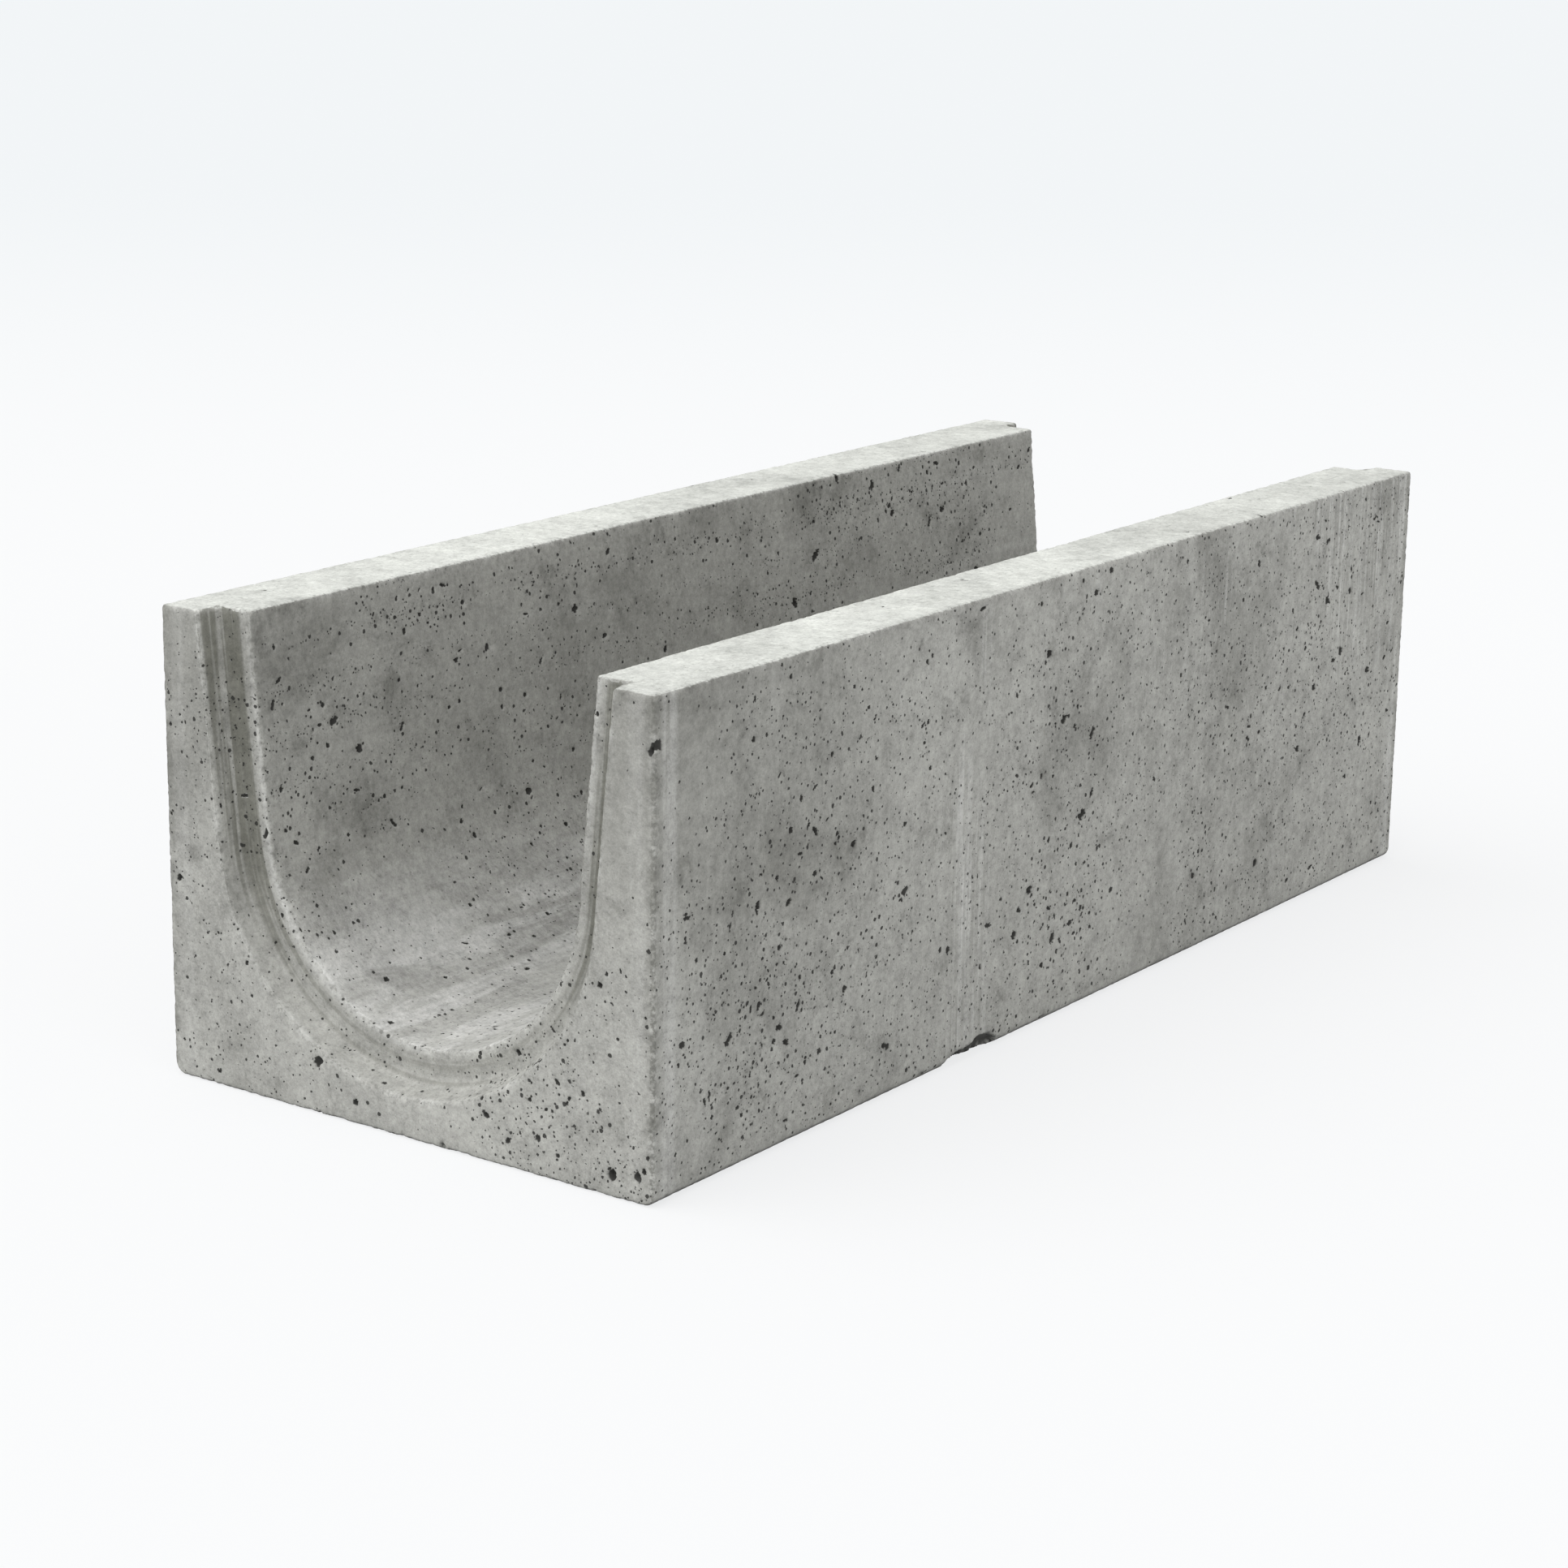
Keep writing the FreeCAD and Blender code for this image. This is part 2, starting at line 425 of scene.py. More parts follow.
class Wear:
    """What has gone from the block since it was cast."""

    def __init__(self, mould, settings):
        self.mould = mould
        self.crumble = settings.crumble / MM
        self.draw = np.random.default_rng(settings.seed)
        self.lumps = Grain(settings.seed + 1)
        self.grit = Grain(settings.seed + 2)
        self.bite = np.array([mould.half_width, settings.bite_place / MM, 0.0])
        self.bite_half = np.array([BITE_DEPTH, settings.bite_length / MM / 2, settings.bite_height / MM])
        self.nicks = self.place_nicks(settings.nicks)

    def edge_lines(self):
        """Points along each edge that can be knocked, with a weight for how often it is."""
        m = self.mould
        x, y, z = m.half_width, m.half_length, m.height
        arc = np.linspace(math.pi + m.draft, 2 * math.pi - m.draft, 160)
        lines = []
        for sx, sy in itertools.product((-1, 1), repeat=2):
            lines.append((1.0, (sx * x, sy * y, 0.0), (sx * x, sy * y, z)))
        for sx in (-1, 1):
            rim = m.wall_top(0.0)
            lines.append((0.8, (sx * x, -y, z), (sx * x, y, z)))
            lines.append((1.3, (sx * x, -y, 0.0), (sx * x, y, 0.0)))
            lines.append((0.5, (sx * rim, -y + m.depth, z), (sx * rim, y - m.depth, z)))
        for sy in (-1, 1):
            lines.append((1.5, (-x, sy * y, 0.0), (x, sy * y, 0.0)))
        for weight, a, b in lines:
            a, b = np.array(a), np.array(b)
            steps = int(np.linalg.norm(b - a))
            yield weight, a + np.linspace(0, 1, steps)[:, None] * (b - a)
        for sy in (-1, 1):
            yield 0.8, m.contour(m.step + m.splay, sy * y, 60, arc)
            yield 1.2, m.contour(0.0, sy * (y - m.depth), 60, arc)

    def place_nicks(self, count):
        """Centres and radii of the small pieces knocked off the edges."""
        places, weights = [], []
        for weight, line in self.edge_lines():
            gap = np.linalg.norm(np.diff(line, axis=0), axis=1)
            places.append(line[1:])
            weights.append(gap * weight)
        places, weights = np.concatenate(places), np.concatenate(weights)
        pick = self.draw.choice(len(places), count, p=weights / weights.sum())
        size = np.clip(self.draw.lognormal(0.35, 0.45, count), SMALLEST_NICK, LARGEST_NICK)
        centre = places[pick] + self.draw.normal(0.0, 0.5, (count, 3)) * size[:, None]
        return np.concatenate([np.column_stack([centre, size]), self.knocked_corners()])

    def knocked_corners(self):
        """Larger pieces off the top corners of the walls."""
        m = self.mould
        rim, mouth = m.wall_top(0.0), m.wall_top(m.step + m.splay)
        side, end, up = m.half_width + 1.0, m.half_length + 1.0, m.height + 1.0
        return np.array([(mouth, -end, up, 4.6),
                         (rim, m.depth - end, up + 1.0, 6.0),
                         (side, -end, up, 4.2),
                         (side, end - 27.0, up, 4.4),
                         (side, end - 61.0, up, 3.6),
                         (1.0 - side, end, up, 6.0)])

    def airiness(self, points):
        """How crowded the air holes are at each point: 1 is usual."""
        m = self.mould
        crowd = 1.0 + 0.7 * self.lumps(points + 500.0, 120.0) + 0.8 * self.lumps(points - 300.0, 45.0)
        crowd = np.clip(crowd, 0.08, 3.0) ** 1.5
        for x, y, z, reach, gain in AIRY_PLACES:
            away = np.linalg.norm(points - (x * m.half_width, y * m.half_length, z * m.height), axis=1)
            crowd *= 1.0 + gain * np.exp(-(away / reach) ** 2)
        crowd *= np.where(points[:, 2] < 2.0, 0.05, 1.0)
        crowd *= np.where(points[:, 2] > m.height - 2.0, 0.15, 1.0)
        return crowd

    def missing(self, points):
        """How deep each point lies in the concrete that has gone, in millimetres."""
        m = self.mould
        outer, foot, shoulder = m.arrises(points)
        rough = 0.6 * self.lumps(points, 9.0) + 0.7 * self.lumps(points, 3.6)
        fine = self.grit(points, 2.0)
        loose = np.maximum(rough + 0.1, 0.0) + 0.4 * np.maximum(fine, 0.0)
        gone = self.crumble * loose * np.exp(-(outer / 3.0) ** 2)
        gone += 1.1 * self.crumble * (loose + 0.1) * np.exp(-(foot / 4.0) ** 2)
        gone += 1.5 * self.crumble * (loose + 0.1) * np.exp(-(shoulder / 3.5) ** 2)
        return gone + 0.12 * np.maximum(fine + 0.3, 0.0) + 0.30 * (1 + self.lumps(points, 90.0)) / 2

    def scooped(self, points):
        """Distance into the knocked-off pieces, positive where concrete has gone."""
        ragged = 1.0 + 0.35 * self.lumps(points, 5.0) + 0.15 * self.grit(points, 2.0)
        deepest = np.full(len(points), -50.0)
        order = np.argsort(points[:, 1])
        along = points[order, 1]
        for x, y, z, size in self.nicks:
            first, last = np.searchsorted(along, (y - 2 * size, y + 2 * size))
            near = order[first:last]
            away = np.linalg.norm(points[near] - (x, y, z), axis=1)
            deepest[near] = np.maximum(deepest[near], size * ragged[near] - away)
        part = (points - self.bite) / self.bite_half
        part[:, 2] /= 0.85 + 0.3 * np.clip(part[:, 1], -1.0, 1.0)
        power = np.abs(part) ** np.array([2.2, 4.0, 2.2])
        shape = power.sum(axis=1) ** 0.4
        uneven = 1.0 + 0.16 * self.lumps(points, 13.0) + 0.10 * self.lumps(points, 5.0)
        broken = (uneven - shape) * self.bite_half[2]
        return np.maximum(deepest, np.maximum(broken, -50.0))

    def surface(self, points):
        """Distance from the worn block."""
        return np.maximum(self.mould.cast(points) + self.missing(points), self.scooped(points))


def fine_enough(wear, holes, points):
    """Longest edge wanted at each point, in millimetres."""
    mould = wear.mould
    outer, foot, shoulder = mould.arrises(points)
    edge = np.minimum.reduce([outer, foot, shoulder])
    want = np.clip(FINEST_EDGE + 0.8 * np.maximum(edge - 3.5, 0.0), FINEST_EDGE, LONGEST_EDGE)
    reach = np.linalg.norm((points - wear.bite) / np.array([1.0, 1.7, 1.0]), axis=1)
    want = np.minimum(want, 1.8 + 0.8 * np.maximum(reach - 20.0, 0.0))
    order = np.argsort(points[:, 1])
    along = points[order, 1]
    for x, y, z, size in holes:
        first, last = np.searchsorted(along, (y - 40.0, y + 40.0))
        near = order[first:last]
        away = np.linalg.norm(points[near] - (x, y, z), axis=1)
        limit = 0.75 * size + 0.8 * np.maximum(away - 1.2 * size, 0.0)
        want[near] = np.minimum(want[near], limit)
    return want


def place_holes(wear, points, faces, count):
    """Draws the air holes: centre and radius of each, in millimetres."""
    draw = wear.draw
    corners = points[faces]
    area = np.linalg.norm(np.cross(corners[:, 1] - corners[:, 0], corners[:, 2] - corners[:, 0]), axis=1)
    middle = corners.mean(axis=1)
    crowd = wear.airiness(middle)
    pick = draw.choice(len(faces), count, p=area * crowd / (area * crowd).sum())
    blend = draw.dirichlet((1.0, 1.0, 1.0), count)
    centre = np.einsum("ij,ijk->ik", blend, corners[pick])
    size = np.clip(draw.lognormal(0.10, 0.42, count), SMALLEST_HOLE, LARGEST_HOLE)
    return np.column_stack([centre, size])


def sink_holes(wear, points, outward, holes):
    """Pushes the surface in at each air hole."""
    draw = wear.draw
    push = np.zeros(len(points))
    order = np.argsort(points[:, 1])
    along = points[order, 1]
    uneven = wear.grit(points, 1.6)
    for x, y, z, size in holes:
        angle = draw.uniform(0, math.pi)
        stretch = draw.choice((1.0, 1.15, 1.6, 2.2), p=(0.4, 0.3, 0.2, 0.1))
        deep = size * draw.uniform(0.9, 1.5)
        first, last = np.searchsorted(along, (y - 3 * size, y + 3 * size))
        near = order[first:last]
        away = points[near] - (x, y, z)
        close = np.linalg.norm(away, axis=1) < 2.6 * size
        near, away = near[close], away[close]
        if not len(near):
            continue
        up = outward[near[0]]
        side = np.cross(up, (0.0, 0.0, 1.0) if abs(up[2]) < 0.9 else (0.0, 1.0, 0.0))
        side /= np.linalg.norm(side)
        other = np.cross(up, side)
        a = away @ (side * math.cos(angle) + other * math.sin(angle))
        b = away @ (other * math.cos(angle) - side * math.sin(angle))
        span = np.hypot(a / stretch, b * math.sqrt(stretch)) / size + 0.22 * uneven[near]
        bowl = np.minimum(1.35 * np.sqrt(np.clip(1.0 - span ** 2, 0.0, 1.0)), 1.0)
        push[near] = np.maximum(push[near], deep * bowl)
    return points - outward * push[:, None]


def flow_of(mould, points):
    """Place along and across the way that each surface was cast, for streaks to follow."""
    _, _, top, end, _, shoulder, _ = mould.planes(points)
    x, y, z = points.T
    girth = mould.girth(points)
    offset = mould.offset(points)
    inside = offset < 1.0
    at_rebate = (shoulder > -1.0) & (offset < mould.step + mould.splay + 1.5) & ~inside
    at_end = (end > -1.5) & ~at_rebate
    at_top = (top > -1.0) & ~at_end
    flow = np.stack([y, z, x], axis=1)
    flow = np.where(at_top[:, None], np.stack([x, y, z], axis=1), flow)
    flow = np.where(inside[:, None], np.stack([girth, y, offset], axis=1), flow)
    flow = np.where(at_end[:, None], np.stack([x, z, y], axis=1), flow)
    flow = np.where(at_rebate[:, None], np.stack([offset * 1.6 + np.abs(shoulder), girth, y], axis=1), flow)
    return flow, inside, at_rebate, at_top, at_end


def worn_mesh(mould, wear, hole_count):
    """Points and triangles of the worn block, in millimetres."""
    points, faces = sharp_block(mould)
    span = 1100.0
    while span > 26.0:
        span *= 0.72
        points, faces = split_edges(points, faces, np.full(len(points), span))
    points = settle(mould.cast, points, 3)
    holes = place_holes(wear, points, faces, hole_count)
    holes[:, :3] = settle(mould.cast, holes[:, :3], 3)
    want = fine_enough(wear, holes, points)
    for _ in range(24):
        span = max(span * 0.74, 0.3)
        limit = np.maximum(want, span) * 1.25
        before = len(points)
        points, faces = split_edges(points, faces, limit)
        if len(points) == before:
            if span <= want.min():
                break
            continue
        points[before:] = settle(mould.cast, points[before:], 2)
        want = np.concatenate([want, fine_enough(wear, holes, points[before:])])
    for _ in range(2):
        points = settle(mould.cast, relax(points, faces, 0.5), 2)
    outward = slope(mould.cast, points)
    outward /= np.linalg.norm(outward, axis=1)[:, None]
    for _ in range(3):
        points = points - outward * wear.surface(points)[:, None]
    points = sink_holes(wear, points, outward, holes)
    low = np.array([-mould.half_width, -mould.half_length, 0.0])
    high = np.array([mould.half_width, mould.half_length, mould.height])
    return np.clip(points, low, high), faces


# ---------------------------------------------------------------- materials

class Wire:
    """A node's output, so that shader maths reads as an expression."""

    def __init__(self, bench, socket):
        self.bench = bench
        self.socket = socket

    def maths(self, operation, *values, clamp=False):
        return self.bench.add("ShaderNodeMath", {"operation": operation, "use_clamp": clamp}, *values)

    def __add__(self, other):
        return self.maths("ADD", self, other)

    def __sub__(self, other):
        return self.maths("SUBTRACT", self, other)

    def __rsub__(self, other):
        return self.maths("SUBTRACT", other, self)

    def __mul__(self, other):
        return self.maths("MULTIPLY", self, other)

    __radd__ = __add__
    __rmul__ = __mul__

    def held(self):
        """Kept between 0 and 1."""
        return self.maths("ADD", self, 0.0, clamp=True)

    def top_of(self, other):
        return self.maths("MAXIMUM", self, other)

    def ramp(self, low, high):
        """0 at low and below, 1 at high and above, smooth between; high may be the lower."""
        falls = high < low
        ends = (high, low) if falls else (low, high)
        step = self.bench.add("ShaderNodeMapRange", {"interpolation_type": "SMOOTHSTEP"},
                              self, *ends, 0.0, 1.0)
        return 1.0 - step if falls else step


class Bench:
    """Builds the nodes of one material."""

    def __init__(self, name):
        self.material = bpy.data.materials.new(name)
        self.material.use_nodes = True
        self.tree = self.material.node_tree
        self.tree.nodes.clear()

    def add(self, kind, settings=None, *values, out=0, **named):
        """Makes a node: its settings first, then its sockets' values or links, in order or by name."""
        node = self.tree.nodes.new(kind)
        for key, value in (settings or {}).items():
            setattr(node, key, value)
        usable = [s for s in node.inputs if s.enabled]
        pairs = list(zip(usable, values))
        pairs += [(node.inputs[key.replace("_", " ")], value) for key, value in named.items()]
        for socket, value in pairs:
            if isinstance(value, Wire):
                self.tree.links.new(value.socket, socket)
            elif value is not None:
                socket.default_value = value
        outputs = [s for s in node.outputs if s.enabled]
        return Wire(self, outputs[out]) if outputs else None

    def attribute(self, name, out=2):
        return self.add("ShaderNodeAttribute", {"attribute_name": name}, out=out)

    def axes(self, place):
        """The three numbers of a place."""
        split = self.add("ShaderNodeSeparateXYZ", None, place)
        return [Wire(self, socket) for socket in split.socket.node.outputs]

    def band(self, value, middle, half):
        """1 where the value is the middle one, falling to 0 at half a width away."""
        away = self.add("ShaderNodeMath", {"operation": "ABSOLUTE"}, value - middle)
        return away.ramp(half, half * 0.3)

    def stretch(self, place, scale):
        """The place with each axis multiplied, so that lumps along a small one are long."""
        return self.add("ShaderNodeVectorMath", {"operation": "MULTIPLY"}, place, scale)

    def lumps(self, place, scale, detail=3.0, rough=0.55, warp=0.0):
        """Cloudy noise from about 0 to 1, with that many lumps to the metre."""
        return self.add("ShaderNodeTexNoise", {"noise_dimensions": "3D"}, Vector=place, Scale=scale,
                        Detail=detail, Roughness=rough, Distortion=warp)

    def specks(self, place, scale, out=0):
        """Distance to random points, and a random value for each, that many to the metre."""
        return self.add("ShaderNodeTexVoronoi", {"voronoi_dimensions": "3D", "feature": "F1"},
                        Vector=place, Scale=scale, Randomness=1.0, out=out)

    def blend(self, mask, colour, over):
        """The first colour where the mask is 0, the second where it is 1."""
        settings = {"data_type": "RGBA", "blend_type": "MIX", "clamp_factor": True}
        return self.add("ShaderNodeMix", settings, mask, colour, over)

    def shade(self, colour, level):
        """The colour made lighter or darker by a level that varies."""
        grey = self.add("ShaderNodeCombineColor", None, level, level, level)
        settings = {"data_type": "RGBA", "blend_type": "MULTIPLY", "clamp_factor": True}
        return self.add("ShaderNodeMix", settings, 1.0, colour, grey)


def flat(colour):
    return (*colour, 1.0)


def oil_smears(b, flow, from_rim, up):
    """Mould oil on the rebates: in bands along them, thinner low down, none near the rim."""
    smears = b.lumps(b.stretch(flow, (1.0, 0.035, 1.0)), 120.0, 2.0, 0.5).ramp(0.60, 0.42)
    oiled = from_rim.ramp(0.008, 0.016) * (0.22 + 0.78 * smears)
    oiled = oiled * (0.45 + 0.55 * up.ramp(0.05, 0.17))
    return oiled * (1.0 - from_rim.ramp(0.036, 0.042) * up.ramp(0.17, 0.09))


def air_dots(b, place, airy):
    """Air holes too small to be modelled, in three sizes, where the others crowd."""
    shaken = b.add("ShaderNodeVectorMath", {"operation": "MULTIPLY_ADD"},
                   b.add("ShaderNodeTexNoise", None, Vector=place, Scale=420.0, Detail=1.0, out=1),
                   (0.0016, 0.0016, 0.0016), place)
    dots = None
    for scale, share_of, size in ((105.0, 0.85, 0.17), (190.0, 0.75, 0.20), (340.0, 0.45, 0.23)):
        away = b.specks(shaken, scale)
        chance = b.add("ShaderNodeSeparateColor", None, b.specks(shaken, scale, out=1))
        chosen = (chance - share_of * airy).ramp(0.01, -0.01)
        dot = away.ramp(size, size * 0.75) * chosen
        dots = dot if dots is None else dots.top_of(dot)
    return dots


def concrete_material(finish):
    """Grey cast concrete: clouds, streaks, stains, grit, air holes and pale worn edges, with painted shade
    in the air holes, under the foot and high on some faces, a painted highlight on the rebates' rim and
    painted light on the trough floor.
    """
    b = Bench("cast_concrete")
    place = b.add("ShaderNodeTexCoord", None, out=3)
    _, along, up = b.axes(place)
    flow = b.attribute("flow", out=1)
    from_rim = b.axes(flow)[0]
    inside, rebate, side = b.attribute("inside"), b.attribute("rebate"), b.attribute("side")
    topside, end, lost = b.attribute("topside"), b.attribute("end"), b.attribute("lost")
    edge, upright = b.attribute("edge"), b.attribute("upright")
    hole, airy, damp = b.attribute("hole"), b.attribute("airy"), b.attribute("damp")

    clouds = b.lumps(place, 8.0, 5.0, 0.62, 0.3)
    blotches = b.lumps(place, 30.0, 5.0, 0.68, 0.25)
    mottle = b.lumps(place, 140.0, 4.0, 0.7)
    flecks = b.lumps(place, 330.0, 3.0, 0.65)
    grit = b.lumps(place, 800.0, 2.0, 0.7)
    long_streaks = b.lumps(b.stretch(flow, (1.0, 0.022, 1.0)), 300.0, 3.0, 0.62)
    broad_streaks = b.lumps(b.stretch(flow, (1.0, 0.06, 1.0)), 60.0, 3.0, 0.6, 0.2)

    # where each finish lies
    brushed = up.ramp(0.12, 0.25) * along.ramp(-0.10, 0.12) + 0.8 * b.band(along, -0.150, 0.035)
    brushed = brushed * side * b.lumps(place, 7.0, 2.0, 0.5, 0.3).ramp(0.38, 0.56)
    # Painted light: the low part of the trough, which faces up, is made paler, with swirls.
    lit_trough_floor = inside * up.ramp(0.150, 0.075)
    brushed = (brushed + 0.16 * lit_trough_floor + 0.08 * inside).held()
    swirls = b.lumps(b.stretch(flow, (1.0, 0.20, 1.0)), 30.0, 4.0, 0.6, 0.9)
    # Painted shade: darker high on the near part of the sides, high on the end faces, high on the trough
    # walls, and towards the far end of the top.
    shaded = side * along.ramp(-0.18, -0.36) * up.ramp(0.10, 0.22) * 0.42
    shaded = shaded + end * up.ramp(0.10, 0.28) * 0.50 + inside * up.ramp(0.12, 0.26) * 0.24
    shaded = shaded + topside * along.ramp(-0.25, 0.45) * 0.30

    level = 0.45 * clouds + 0.60 * blotches + 0.85 * mottle + 0.55 * flecks + 0.55 * grit - 0.46
    colour = b.blend(topside, flat(finish.face), flat(finish.top))
    # Dark clouds and blotches, with the painted shade added.
    dark_patch_and_shade = clouds.ramp(0.50, 0.32) * 0.42 + blotches.ramp(0.44, 0.28) * 0.42 + shaded
    colour = b.blend(dark_patch_and_shade.held() * (1.0 - 0.7 * topside), colour, flat(finish.dark))
    # Pale streaks of lime and dust, with the painted light on the trough floor.
    pale_streak_and_floor_light = long_streaks.ramp(0.50, 0.66) * brushed * 0.50
    pale_streak_and_floor_light = pale_streak_and_floor_light + broad_streaks.ramp(0.52, 0.72) * (0.06 + 0.30 * brushed)
    pale_streak_and_floor_light = pale_streak_and_floor_light + lit_trough_floor * (0.20 + 0.60 * swirls.ramp(0.42, 0.62))
    colour = b.blend(pale_streak_and_floor_light.held() * (1.0 - topside), colour, flat(finish.pale))
    dark_streak = long_streaks.ramp(0.46, 0.32) * (0.03 + 0.36 * brushed)
    colour = b.blend(dark_streak * (1.0 - 0.8 * topside), colour, flat(finish.dark))

    colour = b.blend(oil_smears(b, flow, from_rim, up) * rebate * 0.80, colour, flat(finish.stain))
    # Painted highlight along the rebates' rim, in the pale colour.
    lip_highlight = rebate * from_rim.ramp(0.010, 0.005) * broad_streaks.ramp(0.40, 0.55)
    colour = b.blend(lip_highlight * 0.35, colour, flat(finish.pale))

    bled = b.band(upright, 0.015, 0.010) * broad_streaks.ramp(0.38, 0.55) * (0.10 + 0.30 * side)
    colour = b.blend(bled, colour, flat(finish.pale))
    seam = upright.ramp(0.0036, 0.0018) * flecks.ramp(0.60, 0.44)
    seam = seam + upright.ramp(0.010, 0.003) * (0.15 + 0.85 * blotches.ramp(0.56, 0.42)) * 0.55
    colour = b.blend(seam.held() * 0.85, colour, flat(finish.dark))
    rubbed = edge * blotches.ramp(0.46, 0.62)
    colour = b.blend(rubbed * 0.40, colour, flat(finish.pale))
    crumbs = edge * flecks.ramp(0.50, 0.40)
    colour = b.blend(crumbs * 0.50, colour, flat(finish.dark))
    colour = b.blend(flecks.ramp(0.40, 0.30) * (0.30 + 0.30 * airy), colour, flat(finish.dark))
    colour = b.shade(colour, level)

    # Painted shade in the air holes, both the modelled ones and those too small to model.
    dots = air_dots(b, place, airy) * (1.0 - 0.75 * topside)
    pit_shade = dots.top_of(hole.ramp(0.10, 0.45))
    colour = b.blend(pit_shade * 0.92, colour, flat(finish.hollow))
    # Painted shade under the foot and on faces turned down, in the air-hole colour.
    colour = b.blend(damp * 0.90, colour, flat(finish.hollow))

    roughness = 0.86 - 0.10 * broad_streaks.ramp(0.5, 0.7) - 0.10 * blotches + 0.08 * mottle
    height = 0.40 * mottle + 0.35 * flecks + 0.25 * grit + 0.25 * blotches + 0.20 * long_streaks * brushed
    height = height - 1.3 * dots + 0.9 * lost.ramp(0.6, 2.5) * b.lumps(place, 420.0, 3.0, 0.7)
    bump = b.add("ShaderNodeBump", None, Strength=0.6, Distance=0.0012, Height=height)
    shader = b.add("ShaderNodeBsdfPrincipled", None, Base_Color=colour, Roughness=roughness.held(),
                   Normal=bump, Specular_IOR_Level=0.32)
    b.add("ShaderNodeOutputMaterial", None, shader)
    return b.material


def floor_material(colour):
    """Pale studio paper, that falls off slightly towards the back."""
    b = Bench("studio_paper")
    place = b.add("ShaderNodeTexCoord", None, out=3)
    far = b.add("ShaderNodeVectorMath", {"operation": "DOT_PRODUCT"}, place, (-0.58, 0.81, 0.0))
    back = tuple(c * k for c, k in zip(colour, (0.925, 0.945, 0.955)))
    shade = b.blend(far.ramp(1.0, 6.0), flat(colour), flat(back))
    paper = b.add("ShaderNodeBsdfPrincipled", None, Base_Color=shade, Roughness=0.9, Specular_IOR_Level=0.1)
    glow = b.add("ShaderNodeEmission", None, shade, PAPER_GLOW)
    rays = [b.add("ShaderNodeLightPath", None, out=k) for k in (RAY_CAMERA, RAY_GLOSSY, RAY_TRANSMISSION)]
    seen = (rays[0] + rays[1] + rays[2]).held() * PAPER_EVENNESS
    b.add("ShaderNodeOutputMaterial", None, b.add("ShaderNodeMixShader", None, seen, paper, glow))
    return b.material


# ---------------------------------------------------------------- operators

def mesh_object(name, points, faces, material):
    mesh = bpy.data.meshes.new(name)
    mesh.from_pydata(points.tolist(), [], faces.tolist())
    mesh.materials.append(material)
    mesh.validate()
    piece = bpy.data.objects.new(name, mesh)
    bpy.context.scene.collection.objects.link(piece)
    return piece


def thin_out(piece, count):
    """Merges triangles where the surface is flat, until that many are left."""
    if len(piece.data.polygons) <= count:
        return
    modifier = piece.modifiers.new("thin_out", "DECIMATE")
    modifier.ratio = count / len(piece.data.polygons)
    thinned = piece.evaluated_get(bpy.context.evaluated_depsgraph_get())
    mesh = bpy.data.meshes.new_from_object(thinned)
    piece.modifiers.clear()
    piece.data = mesh
    for point in mesh.vertices:
        point.co = Vector(max(low, min(high, value)) for low, value, high in zip(LOW, point.co, HIGH))


def keep_value(mesh, name, values):
    """Stores a number or a place at each point of the mesh, for the material to read."""
    values = np.asarray(values, dtype=np.float32)
    kind, field = ("FLOAT", "value") if values.ndim == 1 else ("FLOAT_VECTOR", "vector")
    mesh.attributes.new(name, kind, "POINT").data.foreach_set(field, values.ravel())


def keep_marks(mesh, mould, wear):
    """Stores what the surface is at each point: how it was cast, what it has lost, and where shade is
    painted.
    """
    points = np.empty(len(mesh.vertices) * 3)
    mesh.vertices.foreach_get("co", points)
    points = points.reshape(-1, 3) / MM
    normals = np.empty(len(mesh.vertices) * 3)
    mesh.vertices.foreach_get("normal", normals)
    facing_down = smooth_step(0.35, 0.80, -normals.reshape(-1, 3)[:, 2])

    outer, _, shoulder = mould.arrises(points)
    side_gap, _, _, end_gap, *_ = mould.planes(points)
    below = -mould.cast(points)
    knocked = wear.scooped(points) > -0.3
    lost = np.where(knocked, np.maximum(below, 0.0), 0.0)
    # Painted shade: faces turned down and pieces knocked off near the foot get a dark mask, as if in
    # shadow.
    damp = np.maximum(facing_down, smooth_step(0.8, 2.5, lost))
    flow, inside, rebate, topside, end = flow_of(mould, points)

    keep_value(mesh, "flow", flow * MM)
    keep_value(mesh, "inside", inside)
    keep_value(mesh, "rebate", rebate)
    keep_value(mesh, "topside", topside)
    keep_value(mesh, "end", end)
    keep_value(mesh, "side", ~(inside | rebate | topside | end))
    keep_value(mesh, "edge", np.exp(-(np.minimum(outer, shoulder) / 2.6) ** 2))
    keep_value(mesh, "upright", np.minimum(np.hypot(side_gap, end_gap), MOST_EDGE_GAP) * MM)
    keep_value(mesh, "lost", lost)
    # How deep each point lies in a modelled air hole, for the painted shade there.
    keep_value(mesh, "hole", np.clip((below - wear.missing(points) - 0.1) / 0.9, 0.0, 1.0) * ~knocked)
    keep_value(mesh, "damp", damp * smooth_step(UNDERSIDE_SHADE_HEIGHT, UNDERSIDE_SHADE_HEIGHT / 2, points[:, 2]))
    keep_value(mesh, "airy", np.clip(wear.airiness(points) / 3.0, 0.0, 1.0))


class CHANNEL_OT_cast(bpy.types.Operator):
    """Casts the channel, wears its edges and opens its air holes"""

    bl_idname = "channel.cast"
    bl_label = "Cast Channel"

    def execute(self, context):
        settings = context.scene.channel
        mould = Mould(settings.mould)
        wear = Wear(mould, settings.wear)
        points, faces = worn_mesh(mould, wear, settings.wear.air_holes)
        piece = mesh_object(PIECE, points * MM, faces, concrete_material(settings.finish))
        thin_out(piece, MOST_TRIANGLES)
        piece.data.shade_smooth()
        keep_marks(piece.data, mould, wear)
        print("channel:", len(faces), "triangles cut to", len(piece.data.polygons))
        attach(piece, "root")
        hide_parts(NODE)
        return {"FINISHED"}


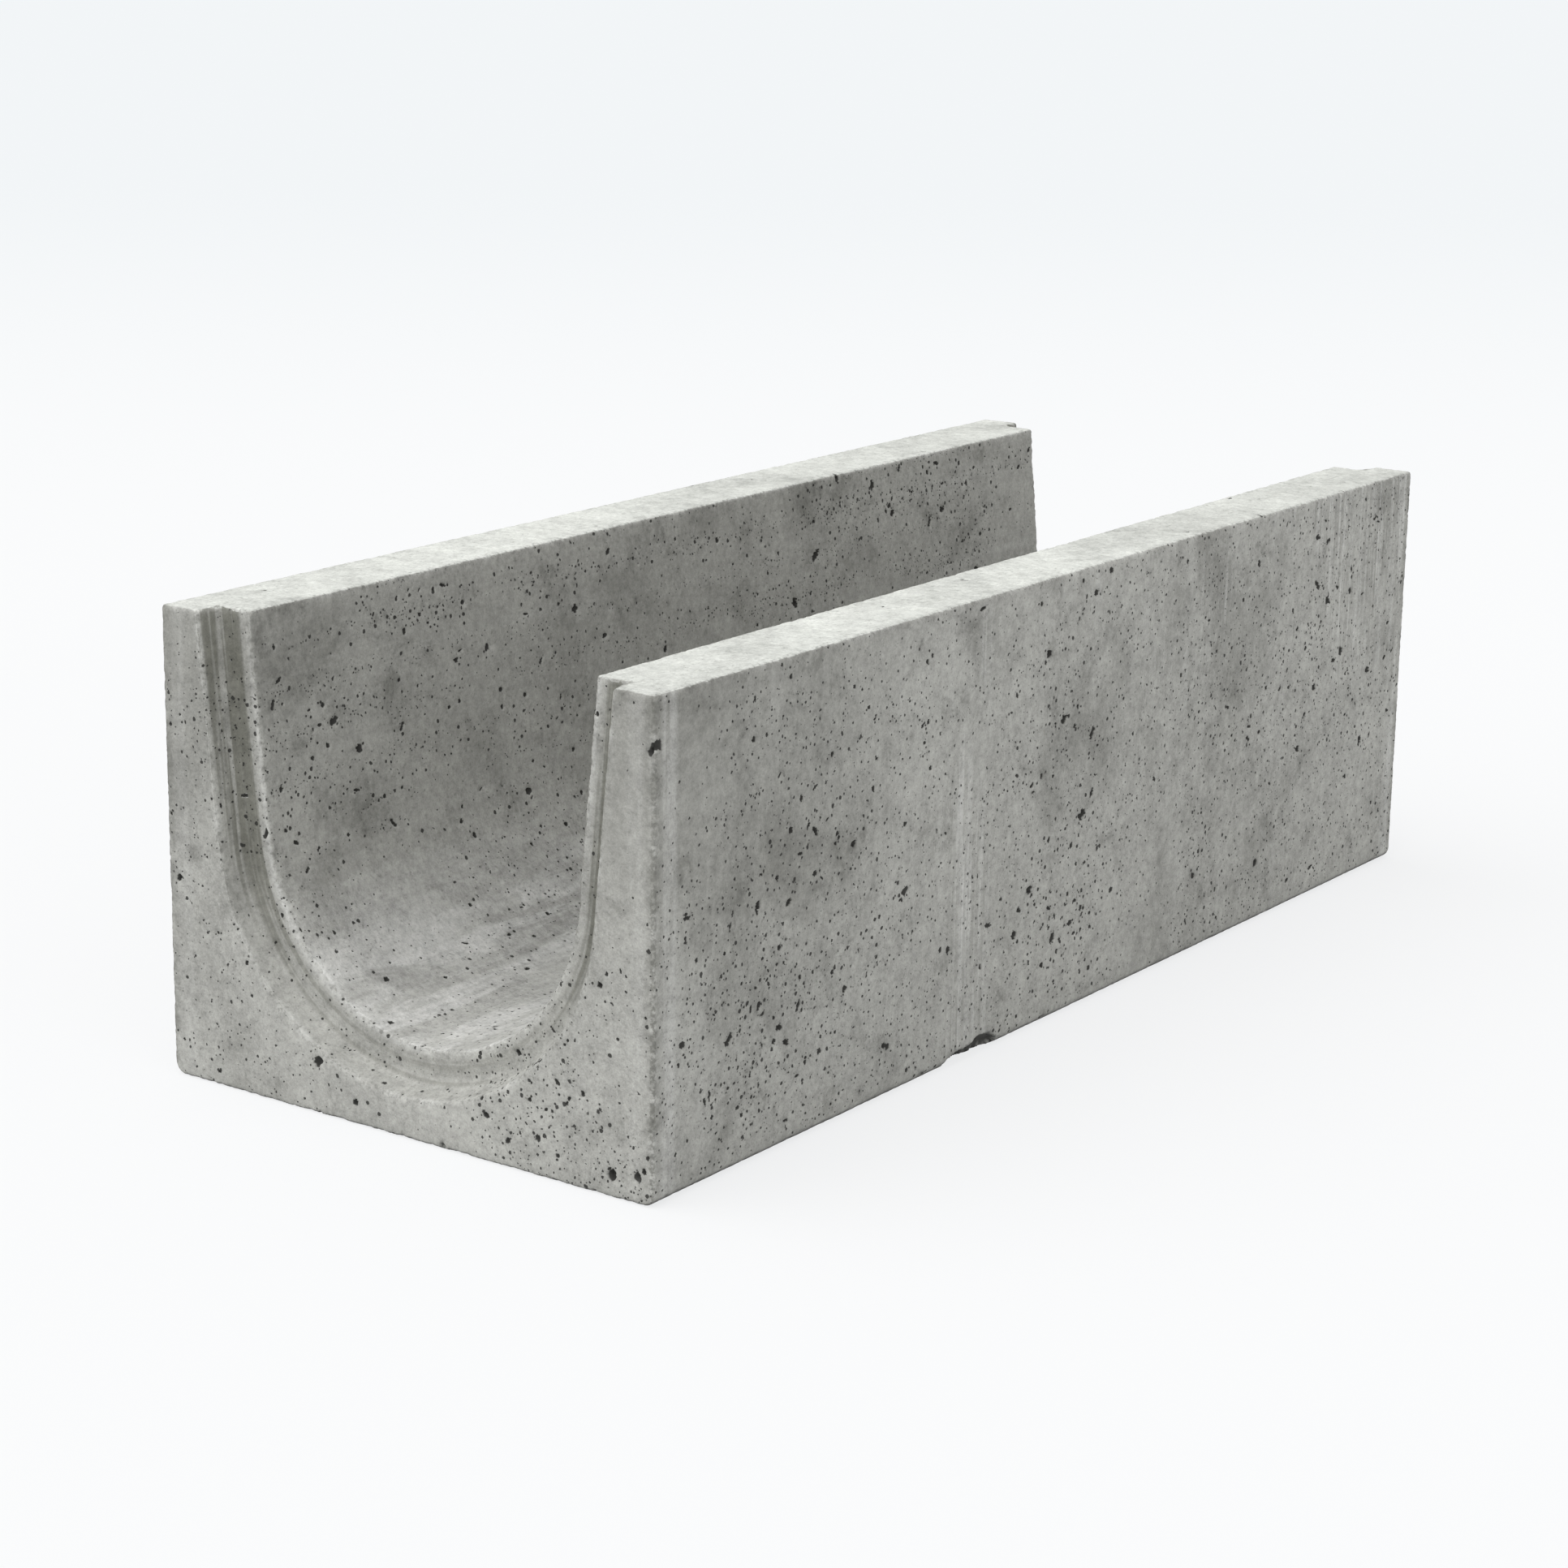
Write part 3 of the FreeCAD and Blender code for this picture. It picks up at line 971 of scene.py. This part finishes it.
class CHANNEL_OT_studio(bpy.types.Operator):
    """Lays the floor, hangs the lamps and sets up the camera"""

    bl_idname = "channel.studio"
    bl_label = "Set Up Studio"

    def execute(self, context):
        scene = context.scene
        studio = scene.channel.studio
        self.lay_floor(studio)
        self.hang_lamps(scene, studio)
        self.set_camera(scene, studio)
        scene.view_settings.view_transform = "Standard"
        return {"FINISHED"}

    def lay_floor(self, studio):
        reach = 60.0
        corners = np.array([(-reach, -reach, 0), (reach, -reach, 0), (reach, reach, 0), (-reach, reach, 0)])
        floor = mesh_object("studio_floor", corners, np.array([(0, 1, 2), (0, 2, 3)]),
                            floor_material(studio.floor))

    def hang_lamps(self, scene, studio):
        world = bpy.data.worlds.new("studio_sky")
        world.use_nodes = True
        background = world.node_tree.nodes["Background"]
        background.inputs["Color"].default_value = (1.0, 1.0, 1.0, 1.0)
        background.inputs["Strength"].default_value = studio.sky
        scene.world = world
        for name, strength, spread, aim in (
                ("key_lamp", studio.key, 75.0, (0.30, 0.46, -0.84)),
                ("fill_lamp", studio.fill, 60.0, (-0.85, 0.30, -0.42))):
            lamp = bpy.data.lights.new(name, "SUN")
            lamp.energy = strength
            lamp.angle = math.radians(spread)
            holder = bpy.data.objects.new(name, lamp)
            holder.rotation_mode = "QUATERNION"
            holder.rotation_quaternion = Vector(aim).to_track_quat("-Z", "Y")
            scene.collection.objects.link(holder)

    def set_camera(self, scene, studio):
        camera = bpy.data.cameras.new("studio_camera")
        camera.sensor_width = 36.0
        camera.lens = studio.lens
        camera.clip_end = 200.0
        holder = bpy.data.objects.new("studio_camera", camera)
        right = Vector((math.cos(studio.turn), math.sin(studio.turn), 0.0))
        level = Vector((-math.sin(studio.turn), math.cos(studio.turn), 0.0))
        ahead = level * math.cos(studio.dip) - Vector((0.0, 0.0, 1.0)) * math.sin(studio.dip)
        up = right.cross(ahead)
        across = right * math.cos(studio.tilt) - up * math.sin(studio.tilt)
        upright = right * math.sin(studio.tilt) + up * math.cos(studio.tilt)
        holder.matrix_world = (Matrix.Translation(studio.eye)
                               @ Matrix((across, upright, -ahead)).transposed().to_4x4())
        scene.collection.objects.link(holder)
        scene.camera = holder


class CHANNEL_PT_panel(bpy.types.Panel):
    """Sizes, wear, colours and studio of the channel"""

    bl_idname = "CHANNEL_PT_panel"
    bl_label = "Drainage Channel"
    bl_space_type = "VIEW_3D"
    bl_region_type = "UI"
    bl_category = "Channel"

    def draw(self, context):
        settings = context.scene.channel
        for title, group in (("Mould", settings.mould), ("Wear", settings.wear),
                             ("Finish", settings.finish), ("Studio", settings.studio)):
            box = self.layout.box()
            box.label(text=title)
            for name in group.__annotations__:
                box.prop(group, name)
        self.layout.operator(CHANNEL_OT_cast.bl_idname)
        self.layout.operator(CHANNEL_OT_studio.bl_idname)


CLASSES = (MouldSettings, WearSettings, FinishSettings, StudioSettings, ChannelSettings,
           CHANNEL_OT_cast, CHANNEL_OT_studio, CHANNEL_PT_panel)


def register():
    for item in CLASSES:
        bpy.utils.register_class(item)
    bpy.types.Scene.channel = PointerProperty(type=ChannelSettings)


def unregister():
    del bpy.types.Scene.channel
    for item in reversed(CLASSES):
        bpy.utils.unregister_class(item)


def main():
    register()
    bpy.ops.channel.studio()
    bpy.ops.channel.cast()


if __name__ == "__main__":
    main()
